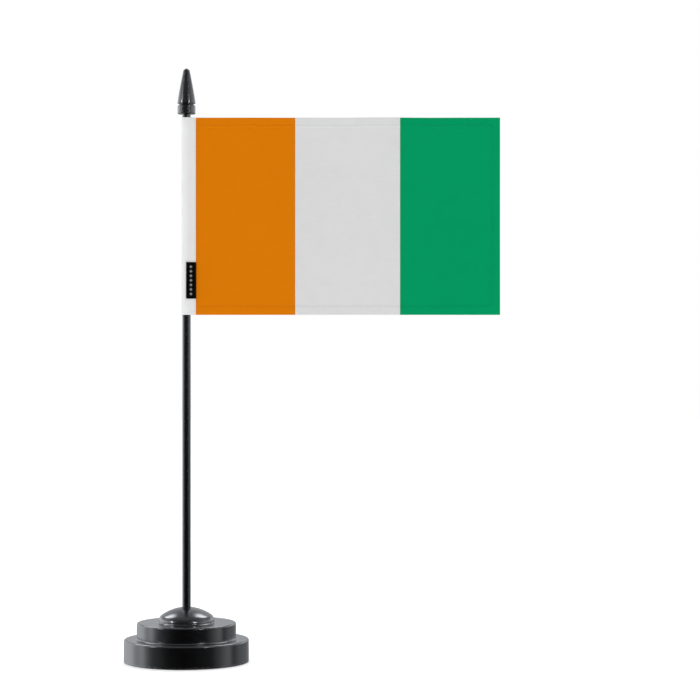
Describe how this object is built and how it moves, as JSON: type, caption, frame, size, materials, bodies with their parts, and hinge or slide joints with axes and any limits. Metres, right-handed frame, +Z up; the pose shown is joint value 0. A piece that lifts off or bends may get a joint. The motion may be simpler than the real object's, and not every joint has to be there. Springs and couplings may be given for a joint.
{
  "type": "desk flag stand",
  "caption": "Small table flag on a slim pole: stepped round weighted base with a domed socket, push-on spear finial, and a banded cloth flag hung by a sewn sleeve.",
  "frame": {"origin": "centre of the foot pad's underside, on the pole's axis, where the stand rests on the table", "axes": "+Z up along the pole, +X towards the flag's fly edge, front face of the flag looks along -Y"},
  "size_m": [0.1906, 0.0632, 0.3011],
  "materials": {
    "base_plastic": "glossy injection moulded",
    "ballast_iron": "as cast",
    "cover_plastic": "fine moulded texture",
    "screw_steel": "zinc plated",
    "foot_foam": "closed-cell foam",
    "bush_plastic": "moulded",
    "pole_plastic": "glossy drawn rod",
    "finial_plastic": "glossy injection moulded",
    "flag_print": "printed polyester with three upright bands, orange, pale grey-white and green",
    "hem_thread": "fine thread, printed with the cloth",
    "sleeve_fabric": "plain white polyester",
    "sleeve_thread": "white thread",
    "label_weave": "black damask-woven tab",
    "label_thread": "black thread"
  },
  "bodies": {
    "base": {"base_shell": "base_plastic", "ballast_ring": "ballast_iron", "base_cover": "cover_plastic", "cover_screws": "screw_steel", "foot_pad": "foot_foam"},
    "swivel": {"socket_bush": "bush_plastic"},
    "mast": {"pole": "pole_plastic"},
    "point": {"finial": "finial_plastic"},
    "flag": {"flag_cloth": "flag_print", "hem_stitching": "hem_thread", "pole_sleeve": "sleeve_fabric", "sleeve_stitching": "sleeve_thread", "woven_label": "label_weave", "label_stitching": "label_thread"}
  },
  "joints": [
    {"name": "pole_swivel", "type": "hinge", "parent": "base", "child": "swivel", "pos_m": [0, 0, 0.01], "axis": [0, 0, 1], "continuous": true},
    {"name": "pole_lift", "type": "slide", "parent": "swivel", "child": "mast", "axis": [0, 0, 1], "range_m": [0, 0.03]},
    {"name": "finial_lift", "type": "slide", "parent": "mast", "child": "point", "axis": [0, 0, 1], "range_m": [0, 0.015]},
    {"name": "flag_slide", "type": "slide", "parent": "mast", "child": "flag", "axis": [0, 0, 1], "range_m": [-0.147, 0.0015]}
  ]
}
